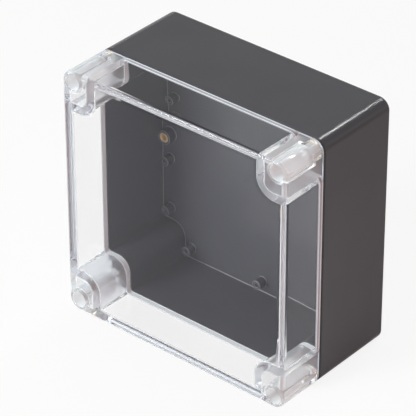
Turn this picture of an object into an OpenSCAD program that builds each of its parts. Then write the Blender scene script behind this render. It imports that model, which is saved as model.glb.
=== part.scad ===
// Waterproof project box: a deep clear lid with four screw tubes on a dark moulded base.
// It stands on one side wall, with X to the right, Y from the lid to the back and Z up.

/* [Box] */
// Outside width
body_w = 160; // [130:1:220]
// Outside height as it stands
body_h = 160; // [130:1:220]
// Outside depth, from the lid's front to the back edge
body_d = 90; // [75:1:140]
// Depth of the clear lid, from its front to the seam
lid_d = 32; // [26:1:40]
// Thickness of the side walls and of the walls round the corner cells
wall = 3.4; // [3.2:0.1:4]
// Radius of the four long outside corners
corner_r = 7; // [6:0.5:9]
// Radius rolled on the front edges of the lid and the back edges of the base
edge_r = 1.5; // [0.8:0.1:2.5]
// Gap between the lid's edge and the base's rim
seam_gap = 0.2; // [0.1:0.05:0.4]
// How far the rim steps in to make the dark line along the seam
step_in = 0.5; // [0.3:0.1:0.6]
// Width of that step along the depth
step_d = 1; // [0.5:0.1:2]

/* [Corner cells] */
// Width of a corner block, from the side face to the sealed room
cell_w = 20.3; // [19:0.1:24]
// Height of a corner block, from the top or bottom face to the sealed room
cell_h = 25; // [24:0.1:30]
// Radius of the block's corner inside the sealed room
cell_r = 9.5; // [7:0.5:12]
// Radius where a block runs into a wall
fillet_r = 2; // [1:0.5:3]
// Distance of a lid screw's axis from both outside faces
screw_inset = 7; // [7:0.1:7.5]

/* [Lid] */
// Thickness of the clear front panel
panel_t = 3; // [2.5:0.1:4]
// Outside diameter of a screw tube
tube_od = 13; // [12:0.2:13.4]
// Diameter of the hole that the screw's head goes down
bore_d = 10; // [9:0.2:10.6]
// Distance from the head's seat to the seam
seat_back = 8; // [7:0.5:10]
// Thickness of the seat
seat_t = 2.5; // [2:0.1:3.5]
// Diameter of the narrow neck behind the seat
neck_od = 9; // [8:0.2:10]
// Gap between the neck and the base's boss
neck_gap = 0.4; // [0.3:0.1:0.8]
// Diameter of the screw hole in the seat and neck
hole_d = 4.6; // [4.4:0.1:5]

/* [Seal] */
// Width of the gasket's groove in the lid's edge
groove_w = 1.6; // [1.2:0.1:1.8]
// Depth of that groove
groove_d = 3; // [2.5:0.1:4]
// Height of the gasket cord in the groove
gasket_t = 1.4; // [1:0.1:1.8]
// Gap between the gasket and the base's tongue
gasket_gap = 0.1; // [0.05:0.05:0.2]
// Clearance on each side of the tongue
tongue_gap = 0.2; // [0.1:0.05:0.3]

/* [Base] */
// Thickness of the floor
floor_t = 3; // [2.5:0.1:4]
// Depth of the open back behind the floor
skirt_d = 6; // [4:0.5:8]
// Thickness of a corner cell's floor
cell_floor = 4; // [3:0.1:6]
// Diameter of the boss that holds a lid insert
boss_d = 11; // [10.6:0.1:12]
// Diameter of a wall screw's hole
mount_d = 4.8; // [4:0.1:5.4]
// Distance of a wall screw's hole from the side face
mount_in_x = 8; // [7.6:0.1:10]
// Distance of a wall screw's hole from the top or bottom face
mount_in_z = 17; // [16.6:0.1:17.4]

/* [Floor posts] */
// Height of the posts on the floor
post_h = 6; // [4:0.5:10]
// Diameter of a plain post
post_d = 6; // [5:0.2:7]
// Diameter of a plain post's pilot hole
pilot_d = 2.6; // [2:0.1:3]
// Depth of that pilot hole
pilot_l = 5; // [3:0.5:6]
// Distance of the side columns of posts from the side faces
col_in = 9.5; // [9:0.1:12]
// Distance of the end rows of posts from the top and bottom faces
row_in = 10.8; // [8:0.1:14]
// Half the distance between the outer posts of a row
row_half = 54.5; // [44:0.5:54.5]
// Height of the rail's fixing line above the middle of the floor
rail_up = 4; // [0:0.5:8]
// Half the distance between the posts beside a rail fixing
rail_half = 16.5; // [12:0.5:20]
// Distance of the outer column posts from the middle of the floor
far_post = 47; // [44:0.5:50]

/* [Lid screws] */
// Diameter of the head
head_d = 8; // [7:0.1:8.4]
// Height of the head
head_h = 3; // [2.4:0.1:3.6]
// Diameter of the thread
shank_d = 4; // [3.8:0.1:4]
// Length under the head
screw_len = 18; // [17:0.5:19]
// Length of the cross recess, tip to tip
cross_l = 4.6; // [4:0.1:5.4]
// Width of the cross recess
cross_w = 1; // [0.8:0.1:1.2]
// Depth of the cross recess
cross_t = 1.7; // [1.2:0.1:2]
// Thickness of the rubber washer under the head
washer_t = 1.2; // [0.8:0.1:1.6]
// Outside diameter of the washer
washer_od = 8; // [7:0.1:8.4]
// Clearance between washer and shank, on the radius
washer_fit = 0.05; // [0.03:0.01:0.1]
// Gap above and below the washer
washer_gap = 0.1; // [0.05:0.05:0.2]

/* [Brass inserts] */
// Outside diameter of a lid insert
insert_od = 5.6; // [5.4:0.1:6.4]
// Length of a lid insert
insert_l = 8; // [7:0.5:10]
// Diameter of its flange
flange_d = 7.4; // [7:0.1:8]
// Thickness of its flange
flange_t = 0.8; // [0.6:0.1:1.2]
// Running clearance between thread and insert, on the radius
thread_fit = 0.05; // [0.03:0.01:0.1]
// Depth of the hole past the insert
tip_room = 4; // [3:0.5:6]
// Width of the plain groove between the two gripping bands
band_gap = 1.2; // [0.8:0.1:2]
// Depth of that groove
band_t = 0.4; // [0.2:0.1:0.5]
// Diameter of the boss that holds a rail insert
rail_boss_d = 9; // [8.4:0.1:9.6]
// Outside diameter of a rail insert
rail_od = 6.2; // [5.8:0.1:6.4]
// Diameter of its threaded hole
rail_id = 3.3; // [3:0.1:3.6]
// Length of a rail insert
rail_l = 5.5; // [4:0.1:5.5]
// Depth of the small dish at the mouth of a lid insert
dish_t = 0.4; // [0.2:0.1:0.5]

/* [Hidden] */
$fn = 64;
slack = 1;
y_front = -body_d / 2;
y_back = body_d / 2;
y_seam = y_front + lid_d;
y_rim = y_seam + seam_gap;
y_seat = y_seam - seat_back;
y_floor = y_back - skirt_d - floor_t;
y_cell = y_back - cell_floor;
y_post = y_floor - post_h;
y_tongue = y_seam - groove_d + gasket_t + gasket_gap;
y_washer = y_seat - washer_gap - washer_t;
y_head = y_washer - washer_gap;
groove_in = (wall - groove_w) / 2;
insert_id = shank_d + 2 * thread_fit;
axis_x = body_w / 2 - screw_inset;
axis_z = body_h / 2 - screw_inset;
col_x = body_w / 2 - col_in;
row_z = body_h / 2 - row_in;

// Which piece to draw, or all of them

// A flat outline about the middle of the box, drawn out along the depth from y by d.
module along(y, d) {
  translate([0, y + d, body_h / 2])
    rotate([90, 0, 0])
      linear_extrude(d)
        children();
}

// A flat outline for one corner, laid from the outside corner inward, put in all four.
module at_corners() {
  translate([-body_w / 2, -body_h / 2]) children();
  translate([body_w / 2, -body_h / 2]) mirror([1, 0, 0]) children();
  translate([-body_w / 2, body_h / 2]) mirror([0, 1, 0]) children();
  translate([body_w / 2, body_h / 2]) rotate(180) children();
}

// A round bar along the depth.
module rod(y, d, dia) {
  translate([0, y + d, 0])
    rotate([90, 0, 0])
      cylinder(h = d, d = dia);
}

// The outside outline, moved in by inset.
module outline2d(inset) {
  w = body_w - 2 * inset;
  h = body_h - 2 * inset;
  r = corner_r - inset;
  square([w - 2 * r, h], center = true);
  square([w, h - 2 * r], center = true);
  for (sx = [-1, 1], sz = [-1, 1])
    translate([sx * (w / 2 - r), sz * (h / 2 - r)]) circle(r);
}

// One corner block as the sealed room sees it, drawn back by d into its wall.
module block2d(d) {
  w = cell_w - d;
  h = cell_h - d;
  r = cell_r - d;
  f = fillet_r + d;
  t = wall - d;
  translate([-slack, -slack]) square([w - r + slack, h + slack]);
  translate([-slack, -slack]) square([w + slack, h - r + slack]);
  translate([w - r, h - r]) circle(r);
  difference() {
    translate([w - slack, t - slack]) square([f + slack, f + slack]);
    translate([w + f, t + f]) circle(f);
  }
  difference() {
    translate([t - slack, h - slack]) square([f + slack, f + slack]);
    translate([t + f, h + f]) circle(f);
  }
}

// The sealed room's outline, moved out by d into the wall round it.
module room2d(d) {
  difference() {
    square([body_w - 2 * (wall - d), body_h - 2 * (wall - d)], center = true);
    at_corners() block2d(d);
  }
}

// A closed band in the wall round the sealed room, between two distances from it.
module band2d(near, far) {
  difference() {
    room2d(far);
    room2d(near);
  }
}

// The dry cell inside a corner block.
module cell2d() {
  w = cell_w - wall;
  h = cell_h - wall;
  r = cell_r - wall;
  translate([wall, wall]) square([w - r - wall, h - wall]);
  translate([wall, wall]) square([w - wall, h - r - wall]);
  translate([w - r, h - r]) circle(r);
}

// A round hole or bar on the four lid screw axes.
module axes2d(dia) {
  at_corners()
    translate([screw_inset, screw_inset]) circle(d = dia);
}

// A solid block with its edges rolled at y = 0 and cut square at y = d.
module rolled(d) {
  along(edge_r, d - edge_r) outline2d(0);
  along(0, d) outline2d(edge_r);
  for (s = [-1, 1]) {
    translate([0, edge_r, body_h / 2 + s * (body_h / 2 - edge_r)])
      rotate([0, 90, 0])
        cylinder(h = body_w - 2 * corner_r, r = edge_r, center = true);
    translate([s * (body_w / 2 - edge_r), edge_r, body_h / 2])
      cylinder(h = body_h - 2 * corner_r, r = edge_r, center = true);
  }
  for (sx = [-1, 1], sz = [-1, 1])
    translate([sx * (body_w / 2 - corner_r), edge_r, body_h / 2 + sz * (body_h / 2 - corner_r)])
      rotate([90, 0, 0])
        rotate_extrude()
          translate([corner_r - edge_r, 0]) circle(edge_r);
}

// Clear lid: front panel, walls, four curved cell walls and four screw tubes, with the gasket's groove.
module lid() {
  color([0.86, 0.9, 0.92, 0.35])
    difference() {
      translate([0, y_front, 0]) rolled(lid_d);
      along(y_front + panel_t, lid_d) room2d(0);
      difference() {
        along(y_front + panel_t, lid_d) at_corners() cell2d();
        along(y_front, lid_d - seat_back + seat_t) axes2d(tube_od);
        along(y_seat, seat_back - neck_gap) axes2d(neck_od);
      }
      along(y_seam - groove_d, groove_d + slack) band2d(groove_in, groove_in + groove_w);
      along(y_front - slack, lid_d - seat_back + slack) axes2d(bore_d);
      along(y_seat - slack, seat_back + 2 * slack) axes2d(hole_d);
    }
}

// Seal: one closed cord at the bottom of the lid's groove.
module gasket() {
  color([0.62, 0.63, 0.65])
    along(y_seam - groove_d, gasket_t) band2d(groove_in, groove_in + groove_w);
}

// Plain posts on the floor, as flat circles about the middle of the floor.
module posts2d(dia) {
  for (s = [-1, 1]) {
    for (x = [-row_half, 0, row_half])
      translate([x, s * row_z]) circle(d = dia);
    for (z = [-far_post, rail_up - rail_half, rail_up + rail_half, far_post])
      translate([s * col_x, z]) circle(d = dia);
  }
}

// The two rail fixings, one in each side column.
module rails2d(dia) {
  for (s = [-1, 1])
    translate([s * col_x, rail_up]) circle(d = dia);
}

// Dark base: walls, raised floor, corner cells with bosses, sealing tongue and floor posts.
module base() {
  color([0.3, 0.3, 0.31])
    difference() {
      union() {
        difference() {
          translate([0, y_back, 0]) mirror([0, 1, 0]) rolled(y_back - y_rim);
          along(y_rim - slack, y_floor - y_rim + slack) room2d(0);
          along(y_floor + floor_t, skirt_d + slack) room2d(0);
          difference() {
            along(y_rim - slack, y_cell - y_rim + slack) at_corners() cell2d();
            along(y_rim, y_back - y_rim) axes2d(boss_d);
          }
          difference() {
            along(y_rim - slack, step_d + slack) square([body_w + 2, body_h + 2], center = true);
            along(y_rim - 2 * slack, step_d + 3 * slack) outline2d(step_in);
          }
        }
        along(y_tongue, y_rim - y_tongue + slack)
          band2d(groove_in + tongue_gap, groove_in + groove_w - tongue_gap);
        along(y_post, post_h + slack) posts2d(post_d);
        along(y_post, post_h + slack) rails2d(rail_boss_d);
      }
      along(y_rim - slack, insert_l + slack) axes2d(insert_od);
      along(y_rim - slack, flange_t + slack) axes2d(flange_d);
      along(y_rim, insert_l + tip_room) axes2d(hole_d);
      along(y_cell - slack, cell_floor + 2 * slack)
        at_corners() translate([mount_in_x, mount_in_z]) circle(d = mount_d);
      along(y_post - slack, pilot_l + slack) posts2d(pilot_d);
      along(y_post - slack, rail_l + slack) rails2d(rail_od);
    }
}

// Lid screw: round head with a cross recess, and a shank that reaches through the brass insert.
module screw() {
  color([0.72, 0.72, 0.74])
    difference() {
      union() {
        rod(y_head - head_h, head_h, head_d);
        rod(y_head - slack, screw_len + slack, shank_d);
      }
      translate([-cross_l / 2, y_head - head_h - slack, -cross_w / 2]) cube([cross_l, cross_t + slack, cross_w]);
      translate([-cross_w / 2, y_head - head_h - slack, -cross_l / 2]) cube([cross_w, cross_t + slack, cross_l]);
    }
}

// Rubber washer that travels with the screw, under its head.
module washer() {
  color([0.09, 0.09, 0.1])
    difference() {
      rod(y_washer, washer_t, washer_od);
      rod(y_washer - slack, washer_t + 2 * slack, shank_d + 2 * washer_fit);
    }
}

// Flanged brass insert in a corner boss, with a plain groove between its gripping bands.
module insert() {
  color([0.78, 0.62, 0.3])
    difference() {
      union() {
        rod(y_rim, insert_l, insert_od);
        rod(y_rim, flange_t, flange_d);
      }
      rod(y_rim - slack, insert_l + 2 * slack, insert_id);
      rod(y_rim - slack, dish_t + slack, insert_id + 2 * dish_t);
      difference() {
        rod(y_rim + (insert_l - band_gap) / 2, band_gap, insert_od + slack);
        rod(y_rim, insert_l, insert_od - 2 * band_t);
      }
    }
}

// Plain brass insert in a rail fixing.
module rail_insert() {
  color([0.8, 0.62, 0.28])
    difference() {
      rod(y_post, rail_l, rail_od);
      rod(y_post - slack, rail_l + 2 * slack, rail_id);
    }
}

// A piece on one of the four screw axes: sx is left or right, sz is bottom or top.
module on_axis(sx, sz) {
  translate([sx * axis_x, 0, body_h / 2 + sz * axis_z])
    children();
}

// A piece on one of the two rail fixings.
module on_rail(sx) {
  translate([sx * col_x, 0, body_h / 2 + rail_up])
    children();
}

module screw_tl() { on_axis(-1, 1) screw(); }
module screw_tr() { on_axis(1, 1) screw(); }
module screw_bl() { on_axis(-1, -1) screw(); }
module screw_br() { on_axis(1, -1) screw(); }
module washer_tl() { on_axis(-1, 1) washer(); }
module washer_tr() { on_axis(1, 1) washer(); }
module washer_bl() { on_axis(-1, -1) washer(); }
module washer_br() { on_axis(1, -1) washer(); }
module insert_tl() { on_axis(-1, 1) insert(); }
module insert_tr() { on_axis(1, 1) insert(); }
module insert_bl() { on_axis(-1, -1) insert(); }
module insert_br() { on_axis(1, -1) insert(); }
module rail_insert_l() { on_rail(-1) rail_insert(); }
module rail_insert_r() { on_rail(1) rail_insert(); }

base();
lid();
gasket();
screw_tl();
screw_tr();
screw_bl();
screw_br();
washer_tl();
washer_tr();
washer_bl();
washer_br();
insert_tl();
insert_tr();
insert_bl();
insert_br();
rail_insert_l();
rail_insert_r();
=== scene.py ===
"""Looks of the waterproof project box: finishes, turned parts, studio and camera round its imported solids."""

import logging
import math
from dataclasses import dataclass
from enum import Enum, IntEnum
from typing import Callable, ClassVar

import bmesh
import bpy
from mathutils import Matrix, Vector
from mathutils.geometry import tessellate_polygon


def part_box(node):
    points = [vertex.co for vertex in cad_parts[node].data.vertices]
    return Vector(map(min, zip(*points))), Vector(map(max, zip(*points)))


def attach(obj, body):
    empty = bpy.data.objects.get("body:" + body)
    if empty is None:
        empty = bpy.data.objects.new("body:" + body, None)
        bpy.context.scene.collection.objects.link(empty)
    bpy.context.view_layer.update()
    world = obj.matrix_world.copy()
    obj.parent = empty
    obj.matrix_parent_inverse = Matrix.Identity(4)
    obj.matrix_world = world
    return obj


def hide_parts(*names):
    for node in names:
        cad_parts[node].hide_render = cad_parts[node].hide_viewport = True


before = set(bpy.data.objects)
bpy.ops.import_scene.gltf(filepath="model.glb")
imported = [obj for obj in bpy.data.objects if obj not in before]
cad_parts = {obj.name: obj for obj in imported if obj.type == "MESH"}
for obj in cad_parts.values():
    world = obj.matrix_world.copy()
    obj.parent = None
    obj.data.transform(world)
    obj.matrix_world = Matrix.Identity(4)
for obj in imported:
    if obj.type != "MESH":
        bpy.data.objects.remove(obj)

log = logging.getLogger("project_box")

Point = tuple[float, float, float]
Colour = tuple[float, float, float, float]
Outline = list[tuple[float, float]]
Socket = bpy.types.NodeSocket
Piece = bpy.types.Object

MM: float = 0.001
SAME: float = 1e-9
WHITE: Colour = (1.0, 1.0, 1.0, 1.0)
BOUNCES: int = 96


class Corner(Enum):
    """The four screw corners, as left or right and bottom or top."""

    TL = (-1, 1)
    TR = (1, 1)
    BL = (-1, -1)
    BR = (1, -1)

    @property
    def tag(self) -> str:
        """Ending of the corner's node names."""
        return self.name.lower()


class Side(Enum):
    """The two rail fixings on the floor, with the endings of their node names."""

    LEFT = "l"
    RIGHT = "r"


class LidSlot(IntEnum):
    """The lid's material slots, by finish, in their order on the piece."""

    CLEAR = 0
    # painted light and shade: this slot, PALE and GREY are matt faces whose tones stand in for the lines that
    # light makes through the clear edges
    FROST = 1
    HAZE = 2
    PALE = 3
    GREY = 4
    MILK = 5


class NodeBoard:
    """The node tree of one material or world, with short calls to place and join its nodes."""

    NOISE_STRETCH: ClassVar[tuple[float, float]] = (0.3, 0.7)

    def __init__(self, tree: bpy.types.NodeTree) -> None:
        """Empties the tree and keeps it.

        Args:
            tree: the node tree to fill.
        """
        self.tree = tree
        tree.nodes.clear()

    def add(self, kind: str, **values: object) -> bpy.types.Node:
        """Places a node and sets its sockets or properties by name.

        Args:
            kind: the node's type name.
            values: property or socket values, with underscores for spaces in socket names.

        Returns:
            The new node.
        """
        node = self.tree.nodes.new(kind)
        for key, value in values.items():
            socket = node.inputs.get(key.replace("_", " "))
            if socket is not None:
                socket.default_value = value
            else:
                setattr(node, key, value)
        return node

    def join(self, source: Socket, target: Socket) -> None:
        """Links one socket to another."""
        self.tree.links.new(source, target)

    def place(self) -> Socket:
        """Coordinates of the piece itself, in metres."""
        return self.add("ShaderNodeTexCoord").outputs["Object"]

    def part(self, vector: Socket, axis: str) -> Socket:
        """One part of a vector.

        Args:
            vector: the vector.
            axis: X, Y or Z.

        Returns:
            The value socket.
        """
        split = self.add("ShaderNodeSeparateXYZ")
        self.join(vector, split.inputs[0])
        return split.outputs[axis]

    def noise(self, scale: float, detail: float, rough: float = 0.5) -> Socket:
        """Noise over the piece.

        Args:
            scale: spots per metre.
            detail: number of finer layers.
            rough: share that each finer layer keeps.

        Returns:
            The value socket.
        """
        node = self.add("ShaderNodeTexNoise", Scale=scale, Detail=detail, Roughness=rough)
        self.join(self.place(), node.inputs["Vector"])
        return node.outputs["Fac"]

    def ramp(self, source: Socket, first: Colour, second: Colour,
             stretch: tuple[float, float] = NOISE_STRETCH) -> Socket:
        """Runs from one colour to another along a value.

        Args:
            source: the value that picks the colour.
            first: colour at the start of the stretch.
            second: colour at its end.
            stretch: the values where the run starts and ends.

        Returns:
            The colour socket.
        """
        node = self.add("ShaderNodeValToRGB")
        for stop, at, colour in zip(node.color_ramp.elements, stretch, (first, second)):
            stop.position, stop.color = at, colour
        self.join(source, node.inputs["Fac"])
        return node.outputs["Color"]

    def remap(self, source: Socket, start: float, end: float, low: float = 0.0, high: float = 1.0) -> Socket:
        """Spreads a stretch of a value over a new range, held at its ends.

        Args:
            source: the value.
            start: value that gives low.
            end: value that gives high.
            low: result at the start.
            high: result at the end.

        Returns:
            The value socket.
        """
        node = self.add("ShaderNodeMapRange", From_Min=start, From_Max=end, To_Min=low, To_Max=high)
        self.join(source, node.inputs["Value"])
        return node.outputs["Result"]

    def spread(self, source: Socket, low: float, high: float) -> Socket:
        """Spreads the usual stretch of a noise from low to high."""
        return self.remap(source, *self.NOISE_STRETCH, low, high)

    def math(self, kind: str, first: Socket | float, second: Socket | float = 0.0) -> Socket:
        """One sum on two values.

        Args:
            kind: the operation's name.
            first: a socket or a number.
            second: a socket or a number.

        Returns:
            The value socket.
        """
        node = self.add("ShaderNodeMath", operation=kind)
        for socket, value in zip(node.inputs, (first, second)):
            if isinstance(value, Socket):
                self.join(value, socket)
            else:
                socket.default_value = value
        return node.outputs[0]

    def blend(self, share: Socket, first: Socket, second: Colour) -> Socket:
        """Mixes a colour towards a fixed one.

        Args:
            share: 0 for the first colour and 1 for the second.
            first: the colour that varies.
            second: the fixed colour.

        Returns:
            The colour socket.
        """
        node = self.add("ShaderNodeMix", data_type="RGBA")
        colours = [socket for socket in node.inputs if socket.type == "RGBA"]
        self.join(share, node.inputs["Factor"])
        self.join(first, colours[0])
        colours[1].default_value = second
        return next(socket for socket in node.outputs if socket.type == "RGBA")

    def bump(self, height: Socket, distance: float, strength: float, below: Socket | None = None) -> Socket:
        """Relief from a height.

        Args:
            height: the height value.
            distance: depth in metres of a height of 1.
            strength: share of the relief that shows.
            below: a normal to build on.

        Returns:
            The normal socket.
        """
        node = self.add("ShaderNodeBump", Distance=distance, Strength=strength)
        self.join(height, node.inputs["Height"])
        if below is not None:
            self.join(below, node.inputs["Normal"])
        return node.outputs["Normal"]

    def rays(self) -> tuple[Socket, Socket]:
        """Tells what is looked at straight or through clear pieces from what is seen in mirrors.

        Returns:
            The two value sockets, 1 for such rays and 0 for others.
        """
        path = self.add("ShaderNodeLightPath").outputs
        direct = self.math("MAXIMUM", path["Is Camera Ray"], path["Is Transmission Ray"])
        return direct, path["Is Glossy Ray"]

    def mix(self, share: Socket, first: Socket, second: Socket) -> Socket:
        """Mixes two shaders.

        Args:
            share: 0 for the first shader and 1 for the second.
            first: a shader.
            second: a shader.

        Returns:
            The shader socket.
        """
        node = self.add("ShaderNodeMixShader")
        for source, socket in zip((share, first, second), node.inputs):
            self.join(source, socket)
        return node.outputs[0]

    def shade(self, colour: Socket, rough: Socket, relief: Socket, **values: object) -> None:
        """Ends the tree at one shader.

        Args:
            colour: its colour.
            rough: its roughness.
            relief: its normal.
            values: its fixed values by socket name.
        """
        shader = self.add("ShaderNodeBsdfPrincipled", **values)
        for name, source in (("Base Color", colour), ("Roughness", rough), ("Normal", relief)):
            self.join(source, shader.inputs[name])
        self.surface(shader.outputs[0])

    def surface(self, shader: Socket) -> None:
        """Ends the tree at a material output."""
        self.join(shader, self.add("ShaderNodeOutputMaterial").inputs["Surface"])


class Finish:
    """What every finish shares: a name, one material made once, and a way onto a piece."""

    _made: ClassVar[dict[str, bpy.types.Material]] = {}
    name: str

    def fill(self, board: NodeBoard) -> None:
        """Fills a new material's tree."""
        raise NotImplementedError

    def material(self) -> bpy.types.Material:
        """Makes the finish's material on first use.

        Returns:
            The material.
        """
        if self.name not in self._made:
            made = bpy.data.materials.new(self.name)
            made.use_nodes = True
            self.fill(NodeBoard(made.node_tree))
            self._made[self.name] = made
        return self._made[self.name]

    def dress(self, piece: Piece) -> None:
        """Puts the finish in every material slot of a piece.

        Args:
            piece: the mesh object to dress.
        """
        if not piece.data.materials:
            piece.data.materials.append(None)
        for slot in piece.material_slots:
            slot.material = self.material()


@dataclass(frozen=True)
class SatinMoulding(Finish):
    """Dark satin moulding plastic with spark grain, painted highlights along its edges and in its corners, and
    faint ejector rings on the floor.
    """

    name: str = "satin_dark_plastic"
    deep: Colour = (0.043, 0.0446, 0.0518, 1.0)
    pale: Colour = (0.047, 0.0486, 0.0558, 1.0)
    cloud_per_m: float = 26.0
    gloss_low: float = 0.22
    gloss_high: float = 0.25
    ior: float = 1.5
    mirror_level: float = 0.4
    grain_per_m: float = 3600.0
    grain_rough: float = 0.6
    grain_depth: float = 0.001 * MM
    grain_share: float = 0.2
    edge: float = 1.1 * MM
    edge_samples: int = 10
    # painted highlight: pale colour mixed in along edges and in corners, where small fillets would catch the
    # light
    edge_highlight: Colour = (0.35, 0.354, 0.375, 1.0)
    edge_highlight_from: float = -10.6 * MM
    edge_highlight_turn: tuple[float, float] = (0.97, 0.78)
    ring_radius: float = 3.2 * MM
    ring_width: float = 0.25 * MM
    ring_depth: float = 0.03 * MM
    ring_share: float = 0.5
    rings_across: tuple[float, ...] = (-14.0 * MM, 21.0 * MM)
    rings_up: tuple[float, ...] = (11.5 * MM, 148.5 * MM)

    def ring_height(self, board: NodeBoard) -> Socket:
        """Height of the shallow ring marks that the mould's pins leave.

        Args:
            board: the tree to fill.

        Returns:
            The height socket.
        """
        across, up = board.part(board.place(), "X"), board.part(board.place(), "Z")
        total: Socket | float = 0.0
        for x, z in ((x, z) for x in self.rings_across for z in self.rings_up):
            dx, dz = board.math("SUBTRACT", across, x), board.math("SUBTRACT", up, z)
            square = board.math("ADD", board.math("MULTIPLY", dx, dx), board.math("MULTIPLY", dz, dz))
            off = board.math("SUBTRACT", board.math("SQRT", square), self.ring_radius)
            mark = board.math("LESS_THAN", board.math("ABSOLUTE", off), self.ring_width)
            total = board.math("MAXIMUM", total, mark)
        return total

    def rub(self, board: NodeBoard, eased: Socket) -> Socket:
        """How far a point is painted pale as a highlight, from 0 on a flat face to 1 at an edge or in a
        corner.

        The rim at the seam gets no painted highlight and keeps its dark colour.

        Args:
            board: the tree to fill.
            eased: the normal with eased edges.

        Returns:
            The value socket.
        """
        meet = board.add("ShaderNodeVectorMath", operation="DOT_PRODUCT")
        board.join(eased, meet.inputs[0])
        board.join(board.add("ShaderNodeNewGeometry").outputs["Normal"], meet.inputs[1])
        # painted highlight: pale where the eased normal turns away from the face's own normal
        highlit = board.remap(meet.outputs["Value"], *self.edge_highlight_turn)
        behind = board.math("GREATER_THAN", board.part(board.place(), "Y"), self.edge_highlight_from)
        return board.math("MULTIPLY", highlit, behind)

    def fill(self, board: NodeBoard) -> None:
        """Fills the material's tree.

        Args:
            board: the tree to fill.
        """
        cloud = board.noise(self.cloud_per_m, detail=3.0)
        grain = board.noise(self.grain_per_m, detail=2.0, rough=self.grain_rough)
        eased = board.add("ShaderNodeBevel", samples=self.edge_samples, Radius=self.edge).outputs["Normal"]
        fine = board.bump(grain, self.grain_depth, self.grain_share, eased)
        # the colour carries the painted edge highlights
        board.shade(board.blend(self.rub(board, eased), board.ramp(cloud, self.deep, self.pale), self.edge_highlight),
                    board.spread(cloud, self.gloss_low, self.gloss_high),
                    board.bump(self.ring_height(board), self.ring_depth, self.ring_share, fine),
                    IOR=self.ior, Specular_IOR_Level=self.mirror_level)


@dataclass(frozen=True)
class ClearMoulding(Finish):
    """Clear moulding plastic with a faint tint and a slow ripple, polished, hazy or matt by its clearness,
    with light from the floor painted paler along the foot of some matt ones.
    """

    name: str = "clear_plastic"
    core: Colour = (0.985, 0.985, 0.99, 1.0)
    face: Colour = (0.995, 0.995, 1.0, 1.0)
    clearness: float = 1.0
    gloss_low: float = 0.0
    gloss_high: float = 0.004
    # painted light: a paler colour towards the foot, standing for the bright floor seen through the lid's
    # lower edge
    foot: Colour | None = None
    foot_top: float = 5.0 * MM
    foot_full: float = 4.0 * MM
    shine: Colour = (0.23, 0.235, 0.3, 1.0)
    ior: float = 1.585
    ripple_per_m: float = 14.0
    ripple_depth: float = 0.02 * MM
    ripple_share: float = 0.3

    @classmethod
    def matt(cls, name: str, core: Colour, face: Colour, foot: Colour | None = None) -> "ClearMoulding":
        """The same plastic with a matt face that nothing shows through, which can have light from the floor
        painted paler along its foot.
        """
        return cls(name, core, face, clearness=0.0, gloss_low=0.3, gloss_high=0.4, foot=foot)

    def tone(self, board: NodeBoard, flow: Socket) -> Socket:
        """Colour over the piece, with light from the floor painted paler along its foot where the finish has
        such a tone.

        Args:
            board: the tree to fill.
            flow: the value of the slow ripple.

        Returns:
            The colour socket.
        """
        body = board.ramp(flow, self.core, self.face)
        if self.foot is None:
            return body
        # painted light: paler towards the bottom, as light from the floor
        low = board.remap(board.part(board.place(), "Z"), self.foot_top, self.foot_full)
        return board.blend(low, body, self.foot)

    def fill(self, board: NodeBoard) -> None:
        """Fills the material's tree.

        Args:
            board: the tree to fill.
        """
        flow = board.noise(self.ripple_per_m, detail=1.0)
        board.shade(self.tone(board, flow), board.spread(flow, self.gloss_low, self.gloss_high),
                    board.bump(flow, self.ripple_depth, self.ripple_share),
                    IOR=self.ior, Transmission_Weight=self.clearness, Specular_Tint=self.shine)


@dataclass(frozen=True)
class SoftRubber(Finish):
    """Moulded rubber with a dusty bloom and a fine skin."""

    name: str = "rubber"
    deep: Colour = (0.02, 0.02, 0.021, 1.0)
    bloom: Colour = (0.035, 0.035, 0.036, 1.0)
    rough: float = 0.62
    rough_range: float = 0.08
    ior: float = 1.45
    dust_per_m: float = 420.0
    dust_stretch: tuple[float, float] = (0.35, 0.7)
    skin_per_m: float = 3000.0
    skin_depth: float = 0.02 * MM
    skin_share: float = 0.5

    def fill(self, board: NodeBoard) -> None:
        """Fills the material's tree.

        Args:
            board: the tree to fill.
        """
        dust = board.noise(self.dust_per_m, detail=4.0)
        skin = board.noise(self.skin_per_m, detail=2.0)
        board.shade(board.ramp(dust, self.deep, self.bloom, self.dust_stretch),
                    board.spread(dust, self.rough - self.rough_range, self.rough + self.rough_range),
                    board.bump(skin, self.skin_depth, self.skin_share), IOR=self.ior)


@dataclass(frozen=True)
class TurnedMetal(Finish):
    """Turned metal with fine tool rings along its axis and a little tarnish."""

    name: str = "turned_metal"
    bright: Colour = (0.62, 0.62, 0.63, 1.0)
    dull: Colour = (0.48, 0.48, 0.5, 1.0)
    rough_low: float = 0.16
    rough_high: float = 0.3
    tarnish_per_m: float = 520.0
    tarnish_stretch: tuple[float, float] = (0.35, 0.65)
    ring_scale: float = 260.0
    ring_waver: float = 0.6
    ring_depth: float = 0.01 * MM
    ring_share: float = 0.35

    def fill(self, board: NodeBoard) -> None:
        """Fills the material's tree.

        Args:
            board: the tree to fill.
        """
        cloud = board.noise(self.tarnish_per_m, detail=4.0)
        rings = board.add("ShaderNodeTexWave", Scale=self.ring_scale, Distortion=self.ring_waver,
                          bands_direction="Y")
        board.join(board.place(), rings.inputs["Vector"])
        board.shade(board.ramp(cloud, self.dull, self.bright, self.tarnish_stretch),
                    board.spread(cloud, self.rough_low, self.rough_high),
                    board.bump(rings.outputs["Fac"], self.ring_depth, self.ring_share), Metallic=1.0)


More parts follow.
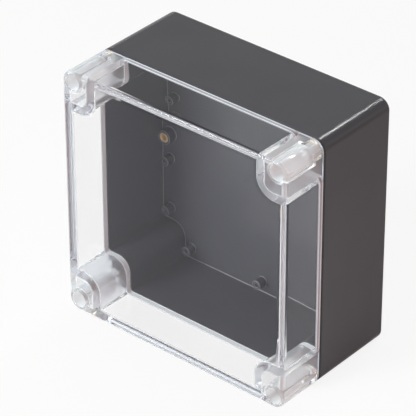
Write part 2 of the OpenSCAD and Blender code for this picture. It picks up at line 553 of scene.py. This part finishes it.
@dataclass(frozen=True)
class StudioFloor(Finish):
    """Pale paper floor with a trace of tone, seen a share of the way to white."""

    name: str = "pale_floor"
    low: Colour = (0.82, 0.82, 0.82, 1.0)
    high: Colour = (0.84, 0.84, 0.84, 1.0)
    tone_per_m: float = 3.0
    rough: float = 0.95
    white_share: float = 0.87
    mirror_share: float = 0.1

    def fill(self, board: NodeBoard) -> None:
        """Fills the material's tree.

        Args:
            board: the tree to fill.
        """
        tone = board.noise(self.tone_per_m, detail=2.0)
        paper = board.add("ShaderNodeBsdfPrincipled", Roughness=self.rough, Specular_IOR_Level=0.0)
        board.join(board.ramp(tone, self.low, self.high), paper.inputs["Base Color"])
        white = board.add("ShaderNodeEmission", Color=WHITE, Strength=1.0)
        direct, mirrored = board.rays()
        share = board.math("MAXIMUM", board.math("MULTIPLY", direct, self.white_share),
                           board.math("MULTIPLY", mirrored, self.mirror_share))
        board.surface(board.mix(share, paper.outputs[0], white.outputs[0]))


def new_piece(name: str, data: bpy.types.ID) -> Piece:
    """Puts a new object in the scene, at the origin.

    Args:
        name: the object's name.
        data: its mesh, lamp or camera.

    Returns:
        The new object.
    """
    piece = bpy.data.objects.new(name, data)
    bpy.context.scene.collection.objects.link(piece)
    return piece


def closed_piece(name: str, bm: bmesh.types.BMesh, weld: float) -> Piece:
    """Welds a mesh, turns its faces outward and puts it in the scene.

    Args:
        name: name of the piece.
        bm: the mesh, which is used up.
        weld: points closer than this become one.

    Returns:
        The new object, at the origin with its place in its mesh.
    """
    bmesh.ops.remove_doubles(bm, verts=bm.verts, dist=weld)
    bmesh.ops.recalc_face_normals(bm, faces=bm.faces)
    mesh = bpy.data.meshes.new(name)
    bm.to_mesh(mesh)
    bm.free()
    return new_piece(name, mesh)


def crease(piece: Piece, degrees: float) -> None:
    """Keeps edges sharper than an angle crisp, and flat faces flat.

    Args:
        piece: the mesh object.
        degrees: the angle.
    """
    smooth = [face.use_smooth for face in piece.data.polygons]
    piece.data.set_sharp_from_angle(angle=math.radians(degrees))
    piece.data.polygons.foreach_set("use_smooth", smooth)


def seat(piece: Piece, finish: Finish, node: str, body: str) -> Piece:
    """Dresses a piece and puts it on its body in place of its solid.

    Args:
        piece: the mesh object.
        finish: what it is dressed in.
        node: the solid that it stands for.
        body: the body that carries it.

    Returns:
        The same piece.
    """
    finish.dress(piece)
    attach(piece, body)
    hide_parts(node)
    return piece


def arc(centre: tuple[float, float], radius: float, start: float, end: float, steps: int = 5) -> Outline:
    """Points along a round stretch of an outline.

    Args:
        centre: the arc's middle.
        radius: its radius.
        start: first angle in degrees.
        end: last angle in degrees.
        steps: number of pieces in the arc.

    Returns:
        The points, both ends among them.
    """
    turns = [math.radians(start + (end - start) * k / steps) for k in range(steps + 1)]
    return [(centre[0] + radius * math.cos(t), centre[1] + radius * math.sin(t)) for t in turns]


def rolled(shape: Callable[[float], Outline], radius: float, y: float, steps: int = 8,
           way: float = 1.0) -> list[tuple[Outline, float]]:
    """Outlines round a quarter turn, from a flat face into the wall that rises from it.

    Args:
        shape: gives the outline at a distance from the wall.
        radius: radius of the quarter turn.
        y: depth of the flat face.
        steps: number of pieces in the turn.
        way: 1 for a wall that goes back from the face, and -1 for one that comes forward.

    Returns:
        The outlines with their places along the depth.
    """
    turns = [0.5 * math.pi * k / steps for k in range(steps + 1)]
    return [(shape(radius * (1.0 - math.sin(t))), y + way * radius * (1.0 - math.cos(t))) for t in turns]


def threaded(radius: float, start: float, end: float, pitch: float, rings: int) -> Outline:
    """Points of a profile that are close enough for a thread.

    Args:
        radius: the plain radius.
        start: place of the first point along the depth.
        end: place of the last point.
        pitch: length of one turn.
        rings: number of points in one turn.

    Returns:
        The points.
    """
    count = int(abs(end - start) / pitch * rings)
    return [(radius, start + (end - start) * k / count) for k in range(count + 1)]


def ridge(turns: float) -> float:
    """Height of a pointed thread after a number of turns, from 0 at its edges to 1 in its middle."""
    return 1.0 - abs(2.0 * (turns % 1.0) - 1.0)


@dataclass(frozen=True)
class RoundPlace:
    """Where a round solid sits in the frame: its axis, its radius and its two ends along the depth."""

    centre: tuple[float, float]
    radius: float
    front: float
    back: float

    @classmethod
    def of(cls, node: str) -> "RoundPlace":
        """Reads the place of a node's solid."""
        low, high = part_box(node)
        return cls(((low.x + high.x) / 2.0, (low.z + high.z) / 2.0), (high.x - low.x) / 2.0, low.y, high.y)


@dataclass
class Turning:
    """A mesh turned about an axis that runs along the depth, with an optional cut in its skin."""

    WELD: ClassVar[float] = 1e-7
    name: str
    centre: tuple[float, float]
    profile: Outline
    segments: int
    cut: Callable[[float, float, float], float] | None = None

    def build(self) -> Piece:
        """Turns the profile into a closed, smooth mesh.

        Returns:
            The new object, at the origin with its place in its mesh.
        """
        bm = bmesh.new()
        turns = [2.0 * math.pi * k / self.segments for k in range(self.segments)]
        rings = []
        for plain, y in self.profile:
            radii = [self.cut(plain, y, turn) if self.cut and plain > 0.0 else plain for turn in turns]
            rings.append([bm.verts.new((self.centre[0] + radius * math.cos(turn), y,
                                        self.centre[1] + radius * math.sin(turn)))
                          for radius, turn in zip(radii, turns)])
        for ring, after in zip(rings, rings[1:] + rings[:1]):
            for k in range(self.segments):
                n = (k + 1) % self.segments
                bm.faces.new((ring[k], ring[n], after[n], after[k]))
        piece = closed_piece(self.name, bm, self.WELD)
        piece.data.polygons.foreach_set("use_smooth", [True] * len(piece.data.polygons))
        return piece


class Skin:
    """A closed mesh put together from lofted walls and flat caps that share their outlines."""

    FACET: ClassVar[float] = 1.2 * MM
    WELD: ClassVar[float] = 0.0005 * MM

    def __init__(self) -> None:
        """Starts an empty mesh."""
        self.bm = bmesh.new()

    def loft(self, rings: list[tuple[Outline, float]], slot: LidSlot = LidSlot.CLEAR) -> None:
        """Joins closed outlines of as many points by a wall, shaded smooth where its faces are narrow.

        Args:
            rings: the outlines with their places along the depth.
            slot: the wall's material slot.
        """
        rows = [[self.bm.verts.new((x, y, z)) for x, z in outline] for outline, y in rings]
        for row, after in zip(rows, rows[1:]):
            for k in range(len(row)):
                face = self.bm.faces.new((row[k - 1], row[k], after[k], after[k - 1]))
                face.smooth = min(edge.calc_length() for edge in face.edges) < self.FACET
                face.material_index = slot

    def cap(self, y: float, outer: Outline, *holes: Outline, slot: LidSlot = LidSlot.CLEAR) -> None:
        """Fills an outline with a flat face.

        Args:
            y: place along the depth.
            outer: the outline.
            holes: outlines that stay open.
            slot: the face's material slot.
        """
        loops = [[Vector((x, y, z)) for x, z in loop] for loop in (outer, *holes)]
        verts = [self.bm.verts.new(point) for loop in loops for point in loop]
        for corners in tessellate_polygon(loops):
            self.bm.faces.new([verts[k] for k in corners]).material_index = slot


@dataclass
class Base:
    """Dark moulded base, kept as its solid."""

    finish: SatinMoulding = SatinMoulding()

    def dress(self) -> Piece:
        """Gives the base its moulded finish.

        Returns:
            The base's object.
        """
        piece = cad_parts["base"]
        self.finish.dress(piece)
        return piece


@dataclass
class Lid:
    """Clear lid with rolled edges, corner cells and screw tubes, matt faces at its rim, groove and tube ends
    painted with light and shade, and the seal in its groove.
    """

    LAP: ClassVar[tuple[Corner, ...]] = (Corner.BL, Corner.BR, Corner.TR, Corner.TL)
    # painted light and shade: the matt slots in the groove stand in for the bright and dark lines seen through
    # the lid's edges
    GROOVE_SLOTS: ClassVar[tuple[LidSlot, ...]] = (
        LidSlot.FROST, LidSlot.PALE, LidSlot.GREY, LidSlot.PALE, LidSlot.FROST, LidSlot.PALE)
    wall: float = 3.4 * MM
    panel: float = 3.0 * MM
    corner_r: float = 7.0 * MM
    corner_steps: int = 24
    edge_r: float = 1.5 * MM
    cell_w: float = 20.3 * MM
    cell_h: float = 25.0 * MM
    cell_r: float = 9.5 * MM
    cell_steps: int = 20
    nose_steps: int = 28
    fillet_r: float = 2.0 * MM
    fillet_steps: int = 10
    screw_inset: float = 7.0 * MM
    tube_r: float = 6.5 * MM
    tube_steps: int = 48
    bore_r: float = 5.0 * MM
    bore_steps: int = 120
    neck_r: float = 4.5 * MM
    hole_r: float = 2.3 * MM
    seat_back: float = 8.0 * MM
    seat_t: float = 2.5 * MM
    neck_gap: float = 0.4 * MM
    groove: tuple[float, float] = (0.9 * MM, 2.5 * MM)
    groove_d: float = 3.0 * MM
    groove_edge: float = 0.7 * MM
    room_round: float = 2.0 * MM
    draft: float = 1.1 * MM
    tight: float = 0.05 * MM
    rim_round: float = 0.5 * MM
    rim_steps: int = 4
    cell_round: float = 1.0 * MM
    mouth_round: float = 0.4 * MM
    mouth_steps: int = 5
    hair: float = 0.03 * MM
    crisp: float = 24.0
    clear: ClearMoulding = ClearMoulding()
    # painted light and shade of the edge bands: a matt mid tone where the clear lid's edges show light and
    # shade, paler along the foot
    frost: ClearMoulding = ClearMoulding.matt(
        "frosted_plastic", (0.355, 0.375, 0.42, 1.0), (0.405, 0.425, 0.47, 1.0), (0.8, 0.85, 0.89, 1.0))
    haze: ClearMoulding = ClearMoulding(
        "hazy_plastic", (0.9, 0.955, 1.0, 1.0), (0.93, 0.98, 1.0, 1.0), 0.74, 0.18, 0.24)
    # painted light: pale matt faces where the lid's edges and towers show bright lines
    pale: ClearMoulding = ClearMoulding.matt(
        "pale_plastic", (0.85, 0.92, 0.95, 1.0), (0.89, 0.96, 0.98, 1.0))
    # painted shade: grey matt groove bed where the lid's edges show a darker middle line, paler along the foot
    grey: ClearMoulding = ClearMoulding.matt(
        "grey_bed_plastic", (0.26, 0.26, 0.29, 1.0), (0.3, 0.3, 0.33, 1.0), (0.5, 0.52, 0.56, 1.0))
    milk: ClearMoulding = ClearMoulding(
        "milky_plastic", (0.88, 0.96, 1.0, 1.0), (0.92, 0.985, 1.0, 1.0), 0.5, 0.45, 0.55)
    seal: SoftRubber = SoftRubber("grey_silicone", (0.7, 0.7, 0.72, 1.0), (0.78, 0.78, 0.8, 1.0), 0.5)

    def __post_init__(self) -> None:
        """Takes the lid's place and size from the frame."""
        low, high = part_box("lid")
        self.front, self.back = low.y, high.y - self.hair
        self.half_w, self.half_h = (high.x - low.x) / 2.0, (high.z - low.z) / 2.0
        self.middle = (low.z + high.z) / 2.0
        self.inner = self.front + self.panel
        self.seat = high.y - self.seat_back + self.hair
        self.neck_end = self.back - self.neck_gap
        self.axis = (self.screw_inset, self.screw_inset)

    def put(self, corner: Corner, outline: Outline) -> Outline:
        """Puts an outline that is laid from an outside corner inward at that corner.

        Args:
            corner: the corner.
            outline: points as distances from the side face and from the top or bottom face.

        Returns:
            The points in the frame, still running the same way round.
        """
        sx, sz = corner.value
        placed = [(sx * (self.half_w - u), self.middle + sz * (self.half_h - v)) for u, v in outline]
        return placed if sx * sz > 0 else placed[::-1]

    def around(self, outline: Outline) -> Outline:
        """One closed outline from a stretch that repeats at all four corners."""
        return [point for corner in self.LAP for point in self.put(corner, outline)]

    def edge(self, inset: float) -> Outline:
        """The outside outline, moved in by inset."""
        middle = (self.corner_r, self.corner_r)
        return self.around(arc(middle, self.corner_r - inset, 180.0, 270.0, self.corner_steps))

    def room(self, out: float) -> Outline:
        """Outline of the sealed room, moved out into the walls round it.

        Args:
            out: how far it is moved.

        Returns:
            The closed outline.
        """
        bend = max(self.fillet_r + out, self.tight)
        wall, wide, high = (size - out + bend for size in (self.wall, self.cell_w, self.cell_h))
        nose = (self.cell_w - self.cell_r, self.cell_h - self.cell_r)
        return self.around(arc((wall, high), bend, 180.0, 270.0, self.fillet_steps)
                           + arc(nose, self.cell_r - out, 90.0, 0.0, self.nose_steps)
                           + arc((wide, wall), bend, 180.0, 270.0, self.fillet_steps))

    def cell(self, radius: float, inset: float = 0.0) -> tuple[Outline, Outline]:
        """The two stretches of a corner cell's outline.

        Args:
            radius: radius of the tube or neck that stands in the cell.
            inset: how far the outline is moved in from all walls.

        Returns:
            The cell's own walls, and the round of the tube between their ends.
        """
        wall, radius = self.wall + inset, radius + inset
        wide, high = self.cell_w - wall, self.cell_h - wall
        nose_r = self.cell_r - wall
        reach = math.sqrt(radius ** 2 - (self.screw_inset - wall) ** 2)
        turn = math.degrees(math.atan2(reach, wall - self.screw_inset))
        nose = arc((wide - nose_r, high - nose_r), nose_r, 0.0, 90.0, self.cell_steps)
        walls = [(self.screw_inset + reach, wall), (wide, wall), *nose,
                 (wall, high), (wall, self.screw_inset + reach)]
        return walls, arc(self.axis, radius, turn, 90.0 - turn, self.tube_steps)[1:-1]

    def bore(self, corner: Corner, radius: float) -> Outline:
        """A round hole on a screw's axis."""
        return self.put(corner, arc(self.axis, radius, 0.0, 360.0, self.bore_steps)[1:])

    def open_cell(self) -> Outline:
        """The whole cell with no tube in it, with a point wherever a tube or neck meets its walls."""
        walls, ends = self.cell(self.tube_r)[0], self.cell(self.neck_r)[0]
        return [(self.wall, self.wall), ends[0], *walls, ends[-1]]

    def add_cell(self, skin: Skin, corner: Corner) -> None:
        """Adds one corner cell with the outside of its tube and neck.

        Args:
            skin: the mesh to add to.
            corner: the cell's corner.
        """
        def walled(inset: float) -> Outline:
            """The cell less its tube."""
            return self.put(corner, sum(self.cell(self.tube_r, inset), []))

        walls, tube = self.cell(self.tube_r)
        ends, neck = self.cell(self.neck_r)
        tube_end = self.seat + self.seat_t
        ring = self.put(corner, [walls[-1], *tube, walls[0], ends[0], *neck[::-1], ends[-1]])
        necked = self.put(corner, [ends[0], *walls, ends[-1], *neck])
        sole = self.put(corner, [ends[-1], *neck, ends[0], (self.wall, self.wall)])
        opened = self.put(corner, self.open_cell())
        skin.cap(self.inner, walled(self.cell_round))
        skin.loft([*rolled(walled, self.cell_round, self.inner), (walled(0.0), tube_end)], LidSlot.HAZE)
        # painted light: the tube's end is a pale matt face so that the tower looks lit through
        skin.cap(tube_end, ring, slot=LidSlot.PALE)
        skin.loft([(necked, tube_end), (necked, self.neck_end)], LidSlot.HAZE)
        skin.cap(self.neck_end, sole, self.bore(corner, self.hole_r))
        skin.loft([(opened, self.neck_end), (opened, self.back)])

    def add_bore(self, skin: Skin, corner: Corner) -> None:
        """Adds the hole that a screw goes down, with its seat.

        Args:
            skin: the mesh to add to.
            corner: the screw's corner.
        """
        mouth = rolled(lambda gap: self.bore(corner, self.bore_r + gap), self.mouth_round, self.front,
                       self.mouth_steps)
        hole = self.bore(corner, self.hole_r)
        skin.loft(mouth)
        skin.loft([mouth[-1], (self.bore(corner, self.bore_r), self.seat), (hole, self.seat),
                   (hole, self.neck_end)], LidSlot.MILK)

    def build_shell(self) -> Piece:
        """Makes the clear shell.

        Returns:
            The shell's object.
        """
        skin = Skin()
        near, far = self.room(self.groove[0] - self.hair), self.room(self.groove[1] + self.hair)
        rim = rolled(self.edge, self.rim_round, self.back, self.rim_steps, -1.0)
        skin.loft([*rolled(self.edge, self.edge_r, self.front), *rim[::-1]])
        skin.loft([*rolled(lambda gap: self.room(-gap - self.draft), self.room_round, self.inner),
                   (self.room(0.0), self.back)])
        bed = self.back - self.groove_d
        groove = [(self.room(0.0), self.back), (near, self.back), (near, bed), (far, bed),
                  (far, bed + self.groove_edge), (far, self.back - self.groove_edge), (far, self.back)]
        for start, end, slot in zip(groove, groove[1:], self.GROOVE_SLOTS):
            skin.loft([start, end], slot)
        skin.cap(self.inner, self.room(-self.room_round - self.draft))
        mouths = [self.bore(corner, self.bore_r + self.mouth_round) for corner in Corner]
        skin.cap(self.front, self.edge(self.edge_r), *mouths)
        cells = [self.put(corner, self.open_cell()) for corner in Corner]
        # painted light and shade: the rim is a matt band rather than clear plastic
        skin.cap(self.back, self.edge(self.rim_round), far, *cells, slot=LidSlot.FROST)
        for corner in Corner:
            self.add_cell(skin, corner)
            self.add_bore(skin, corner)
        piece = closed_piece("clear_lid", skin.bm, skin.WELD)
        crease(piece, self.crisp)
        return piece

    def build(self) -> list[Piece]:
        """Makes the shell, dresses it and the seal, and lets plain light through the shell.

        Returns:
            The shell's and the seal's objects.
        """
        shell, cord = self.build_shell(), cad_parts["gasket"]
        for finish in (self.clear, self.frost, self.haze, self.pale, self.grey, self.milk):
            shell.data.materials.append(finish.material())
        self.seal.dress(cord)
        shell.visible_shadow = shell.visible_diffuse = False
        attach(shell, "lid")
        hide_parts("lid")
        return [shell, cord]


@dataclass
class LidScrew:
    """One lid screw with its rubber washer: domed head, cross recess and a cut thread."""

    corner: Corner
    pitch: float = 0.7 * MM
    thread_depth: float = 0.38 * MM
    rings_per_turn: int = 8
    shank_r: float = 2.0 * MM
    plain: float = 3.0 * MM
    point: float = 0.7 * MM
    point_share: float = 0.8
    head_deep: float = 3.0 * MM
    under_head: float = 0.2 * MM
    dome: float = 1.1 * MM
    dome_rise: float = 0.55
    dome_reach: float = 0.94
    dome_bend: float = 2.4
    dome_steps: int = 8
    rim: float = 0.35 * MM
    rim_start: float = -70.0
    cross_long: float = 4.6 * MM
    cross_wide: float = 1.0 * MM
    cross_deep: float = 1.7 * MM
    cross_proud: float = 1.0 * MM
    cross_taper: tuple[float, float] = (0.55, 0.8)
    segments: int = 40
    crisp: float = 32.0
    washer_hole: float = 2.05 * MM
    washer_ease: float = 0.3 * MM
    washer_nick: float = 0.1 * MM
    washer_segments: int = 56
    washer_crisp: float = 40.0
    steel: TurnedMetal = TurnedMetal("bright_steel")
    rubber: SoftRubber = SoftRubber("black_rubber")

    def thread(self, radius: float, y: float, turn: float, begin: float) -> float:
        """Radius of the cut thread at one point of the shank.

        Args:
            radius: the plain radius there.
            y: place along the depth.
            turn: angle about the axis.
            begin: place along the depth where the thread begins.

        Returns:
            The radius with the thread cut into it.
        """
        if radius < self.shank_r - SAME or y < begin:
            return radius
        along = (y - begin) / self.pitch
        return radius - self.thread_depth * min(1.0, along) * ridge(along - turn / (2.0 * math.pi))

    def build(self) -> list[Piece]:
        """Makes the screw and its washer, dressed and on their bodies."""
        return [self.build_screw(), self.build_washer()]

    def build_screw(self) -> Piece:
        """Makes the screw.

        Returns:
            The screw's object.
        """
        node = f"screw_{self.corner.tag}"
        place = RoundPlace.of(node)
        head_back, rim_r = place.front + self.head_deep, place.radius - self.rim
        begin, end = head_back + self.plain, place.back - self.point
        profile: Outline = [(0.0, place.front)]
        for share in (k / self.dome_steps for k in range(1, self.dome_steps)):
            rise = self.dome * self.dome_rise * share ** self.dome_bend
            profile.append((place.radius * self.dome_reach * share, place.front + rise))
        profile += arc((rim_r, place.front + self.dome), self.rim, self.rim_start, 0.0)
        profile += arc((rim_r, head_back - self.rim), self.rim, 0.0, 90.0)
        profile += [(self.shank_r + self.under_head, head_back), (self.shank_r, head_back + self.under_head)]
        profile += threaded(self.shank_r, begin, end, self.pitch, self.rings_per_turn)
        profile += [(self.shank_r - self.point * self.point_share, place.back), (0.0, place.back)]
        piece = Turning(f"lid_screw_{self.corner.tag}", place.centre, profile, self.segments,
                        lambda radius, y, turn: self.thread(radius, y, turn, begin)).build()
        self.cut_cross(piece, Vector((place.centre[0], place.front, place.centre[1])))
        crease(piece, self.crisp)
        return seat(piece, self.steel, node, node)

    def cut_cross(self, piece: Piece, top: Vector) -> None:
        """Cuts the tapered cross recess into the head.

        Args:
            piece: the screw.
            top: middle of the head's front.
        """
        bm = bmesh.new()
        for across in (False, True):
            made = bmesh.ops.create_cube(bm, size=1.0)["verts"]
            for vert in made:
                deep = vert.co.y > 0.0
                long_share, wide_share = self.cross_taper if deep else (1.0, 1.0)
                x = math.copysign(self.cross_long / 2.0 * long_share, vert.co.x)
                z = math.copysign(self.cross_wide / 2.0 * wide_share, vert.co.z)
                y = self.cross_deep if deep else -self.cross_proud
                vert.co = Vector((z, y, x) if across else (x, y, z)) + top
            if across:
                bmesh.ops.reverse_faces(bm, faces=list({f for v in made for f in v.link_faces}))
        mesh = bpy.data.meshes.new("cross_cutter")
        bm.to_mesh(mesh)
        bm.free()
        cutter = new_piece("cross_cutter", mesh)
        cut = piece.modifiers.new("cross", "BOOLEAN")
        cut.object, cut.operation, cut.solver = cutter, "DIFFERENCE", "EXACT"
        cut.use_self = True
        ready = piece.evaluated_get(bpy.context.evaluated_depsgraph_get())
        shaped = bpy.data.meshes.new_from_object(ready)
        piece.modifiers.remove(cut)
        piece.data = shaped
        bpy.data.objects.remove(cutter)

    def build_washer(self) -> Piece:
        """Makes the rubber washer with eased edges.

        Returns:
            The washer's object.
        """
        node = f"washer_{self.corner.tag}"
        place = RoundPlace.of(node)
        ease, nick, hole = self.washer_ease, self.washer_nick, self.washer_hole
        profile = arc((place.radius - ease, place.front + ease), ease, -90.0, 0.0)
        profile += arc((place.radius - ease, place.back - ease), ease, 0.0, 90.0)
        profile += [(hole + nick, place.back), (hole, place.back - nick),
                    (hole, place.front + nick), (hole + nick, place.front)]
        name = f"sealing_washer_{self.corner.tag}"
        piece = Turning(name, place.centre, profile, self.washer_segments).build()
        crease(piece, self.washer_crisp)
        return seat(piece, self.rubber, node, node)


@dataclass
class BrassInserts:
    """The flanged inserts of the lid screws and the plain inserts of the rail fixings."""

    pitch: float = 0.7 * MM
    groove: float = 0.12 * MM
    rings_per_turn: int = 6
    teeth: int = 28
    tooth: float = 0.12 * MM
    segments: int = 84
    crisp: float = 38.0
    lid_bore: float = 2.05 * MM
    lid_skin: float = 2.8 * MM
    lid_lead: float = 0.4 * MM
    lid_tail: float = 0.15 * MM
    flange_deep: float = 0.8 * MM
    flange_ease: float = 0.12 * MM
    waist_half: float = 0.6 * MM
    waist_deep: float = 0.4 * MM
    end_ease: float = 0.2 * MM
    rail_bore: float = 1.65 * MM
    rail_lead: float = 0.35 * MM
    collar_ease: tuple[float, float] = (0.25 * MM, 0.2 * MM)
    collar_slack: float = 0.02 * MM
    collar_ends: tuple[float, float] = (0.6 * MM, 0.8 * MM)
    brass: TurnedMetal = TurnedMetal(
        "turned_brass", (0.95, 0.68, 0.34, 1.0), (0.78, 0.5, 0.2, 1.0), 0.42, 0.58)

    def cut(self, radius: float, y: float, turn: float, bore: float, skin: float) -> float:
        """Radius with the thread in the bore and the knurl on the skin.

        Args:
            radius: the plain radius there.
            y: place along the depth.
            turn: angle about the axis.
            bore: radius of the bore.
            skin: radius of the knurled skin.

        Returns:
            The changed radius.
        """
        if abs(radius - bore) < SAME:
            return radius + self.groove * ridge(y / self.pitch - turn / (2.0 * math.pi))
        if abs(radius - skin) < SAME:
            return radius - self.tooth * (0.5 - 0.5 * math.cos(self.teeth * turn))
        return radius

    def build(self) -> list[Piece]:
        """Makes all six inserts.

        Returns:
            Their objects.
        """
        lids = [self.build_lid_insert(corner) for corner in Corner]
        return lids + [self.build_rail_insert(side) for side in Side]

    def turned(self, name: str, node: str, profile: Outline, bore: float, skin: float) -> Piece:
        """Turns an insert from its profile and seats it in the base.

        Args:
            name: name of the piece.
            node: the solid that it stands for.
            profile: its profile.
            bore: radius of the bore.
            skin: radius of the knurled skin.

        Returns:
            The insert's object.
        """
        piece = Turning(name, RoundPlace.of(node).centre, profile, self.segments,
                        lambda radius, y, turn: self.cut(radius, y, turn, bore, skin)).build()
        crease(piece, self.crisp)
        return seat(piece, self.brass, node, "base")

    def build_lid_insert(self, corner: Corner) -> Piece:
        """Makes one flanged insert.

        Args:
            corner: its corner.

        Returns:
            The insert's object.
        """
        node = f"insert_{corner.tag}"
        place = RoundPlace.of(node)
        front, back, flange = place.front, place.back, place.radius
        bore, skin, waist_r = self.lid_bore, self.lid_skin, self.lid_skin - self.waist_deep
        middle = (front + back) / 2.0
        near, far = middle - self.waist_half, middle + self.waist_half
        profile: Outline = [
            (bore + self.lid_lead, front), (flange - self.flange_ease, front),
            (flange, front + self.flange_ease), (flange, front + self.flange_deep),
            (skin, front + self.flange_deep), (skin, near), (waist_r, near), (waist_r, far), (skin, far),
            (skin, back - self.end_ease), (skin - self.end_ease, back), (bore + self.lid_tail, back)]
        profile += threaded(bore, back - self.lid_tail, front + self.lid_lead, self.pitch,
                            self.rings_per_turn)
        return self.turned(f"lid_insert_{corner.tag}", node, profile, bore, skin)

    def build_rail_insert(self, side: Side) -> Piece:
        """Makes one plain insert.

        Args:
            side: left or right.

        Returns:
            The insert's object.
        """
        node = f"rail_insert_{side.value}"
        place = RoundPlace.of(node)
        front, back, skin, bore = place.front, place.back, place.radius, self.rail_bore
        collar = skin - self.collar_slack
        profile: Outline = [
            (bore + self.rail_lead, front), (skin - self.collar_ease[0], front),
            (collar, front + self.collar_ease[1]), (collar, front + self.collar_ends[0]),
            (skin, front + self.collar_ends[1]), (skin, back)]
        profile += threaded(bore, back, front + self.rail_lead, self.pitch, self.rings_per_turn)
        return self.turned(f"rail_fixing_insert_{side.value}", node, profile, bore, skin)


@dataclass
class SoftBox:
    """One soft studio lamp."""

    name: str
    place: Point
    size: tuple[float, float]
    power: float
    colour: Point = (1.0, 1.0, 1.0)
    aim: Point = (0.0, 0.0, 0.08)
    spread: float = 180.0
    mirrored: bool = True

    def build(self) -> Piece:
        """Hangs the lamp.

        Returns:
            The lamp's object.
        """
        lamp = bpy.data.lights.new(self.name, "AREA")
        lamp.shape = "RECTANGLE"
        lamp.size, lamp.size_y = self.size
        lamp.energy = self.power
        lamp.color = self.colour
        lamp.spread = math.radians(self.spread)
        piece = new_piece(self.name, lamp)
        piece.location = self.place
        piece.rotation_euler = (Vector(self.aim) - Vector(self.place)).to_track_quat("-Z", "Y").to_euler()
        piece.visible_transmission = False
        piece.visible_glossy = self.mirrored
        return piece


@dataclass
class Studio:
    """Pale floor, white surround, soft lamps and the photograph's camera."""

    eye: Point = (0.8613, -1.0239, 0.9450)
    ahead: Point = (-0.5449, 0.6385, -0.5435)
    right: Point = (0.7616, 0.6480, -0.0024)
    lens: float = 244.5
    sensor: float = 36.0
    clip: tuple[float, float] = (0.05, 50.0)
    floor_half: float = 6.0
    floor_drop: float = 0.3 * MM
    surround: float = 0.39
    ceiling: float = 0.66
    ceiling_rise: tuple[float, float] = (0.1, 0.5)
    lamps: tuple[SoftBox, ...] = (
        SoftBox("overhead", (-0.25, 0.1, 1.5), (1.2, 1.2), 3.5),
        SoftBox("front_left", (-0.64, -1.34, 0.6), (0.6, 0.6), 26.0),
        SoftBox("warm_right", (1.5, -0.1, 0.5), (0.5, 0.5), 3.8, (1.0, 0.24, 0.15), mirrored=False),
        SoftBox("edge_strip", (-0.03, 1.04, 1.38), (0.5, 0.06), 0.12, aim=(0.08, 0.015, 0.155), spread=20.0),
    )
    paper: StudioFloor = StudioFloor()

    def build(self) -> list[Piece]:
        """Sets up the floor, the surround, the lamps and the camera.

        Returns:
            The floor, the lamps and the camera.
        """
        self.set_surround()
        return [self.build_floor(), *[lamp.build() for lamp in self.lamps], self.build_camera()]

    def build_floor(self) -> Piece:
        """Lays the floor.

        Returns:
            The floor's object.
        """
        mesh = bpy.data.meshes.new("studio_floor")
        ends = (-1.0, -1.0), (1.0, -1.0), (1.0, 1.0), (-1.0, 1.0)
        corners = [(x * self.floor_half, y * self.floor_half, -self.floor_drop) for x, y in ends]
        mesh.from_pydata(corners, [], [(0, 1, 2, 3)])
        piece = new_piece("studio_floor", mesh)
        self.paper.dress(piece)
        return piece

    def set_surround(self) -> None:
        """White for what is looked at, a dimmer ceiling in mirrors, and a plain grey level as light."""
        world = bpy.data.worlds.new("white_surround")
        world.use_nodes = True
        bpy.context.scene.world = world
        board = NodeBoard(world.node_tree)
        light = board.add("ShaderNodeBackground", Color=WHITE, Strength=self.surround)
        white = board.add("ShaderNodeBackground", Color=WHITE)
        rise = board.part(board.add("ShaderNodeTexCoord").outputs["Generated"], "Z")
        height = board.remap(rise, *self.ceiling_rise, 1.0, self.ceiling)
        direct, mirrored = board.rays()
        level = board.math("MAXIMUM", board.math("SUBTRACT", 1.0, mirrored), height)
        board.join(level, white.inputs["Strength"])
        seen = board.math("MAXIMUM", direct, mirrored)
        mixed = board.mix(seen, light.outputs[0], white.outputs[0])
        board.join(mixed, board.add("ShaderNodeOutputWorld").inputs["Surface"])

    def build_camera(self) -> Piece:
        """Stands the camera where the photograph was taken.

        Returns:
            The camera's object.
        """
        data = bpy.data.cameras.new("photo_camera")
        data.sensor_width, data.lens = self.sensor, self.lens
        data.clip_start, data.clip_end = self.clip
        piece = new_piece("photo_camera", data)
        back = -Vector(self.ahead).normalized()
        up = back.cross(Vector(self.right).normalized()).normalized()
        piece.matrix_world = Matrix((up.cross(back), up, back)).transposed().to_4x4()
        piece.location = self.eye
        bpy.context.scene.camera = piece
        return piece


def set_view() -> None:
    """Plain view transform, and enough bounces for rays through the clear lid."""
    scene = bpy.context.scene
    scene.view_settings.view_transform = "Standard"
    scene.cycles.max_bounces = BOUNCES
    scene.cycles.transmission_bounces = BOUNCES
    scene.cycles.glossy_bounces = BOUNCES


def main() -> None:
    """Builds the box's looks in order and reports each piece."""
    logging.basicConfig(level=logging.INFO, format="%(name)s: %(message)s")
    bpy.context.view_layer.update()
    set_view()
    for piece in Studio().build():
        log.info("studio %s", piece.name)
    log.info("base %s", Base().dress().name)
    for piece in Lid().build():
        log.info("lid %s", piece.name)
    for corner in Corner:
        for piece in LidScrew(corner).build():
            log.info("screw %s", piece.name)
    for piece in BrassInserts().build():
        log.info("insert %s", piece.name)


if __name__ == "__main__":
    main()
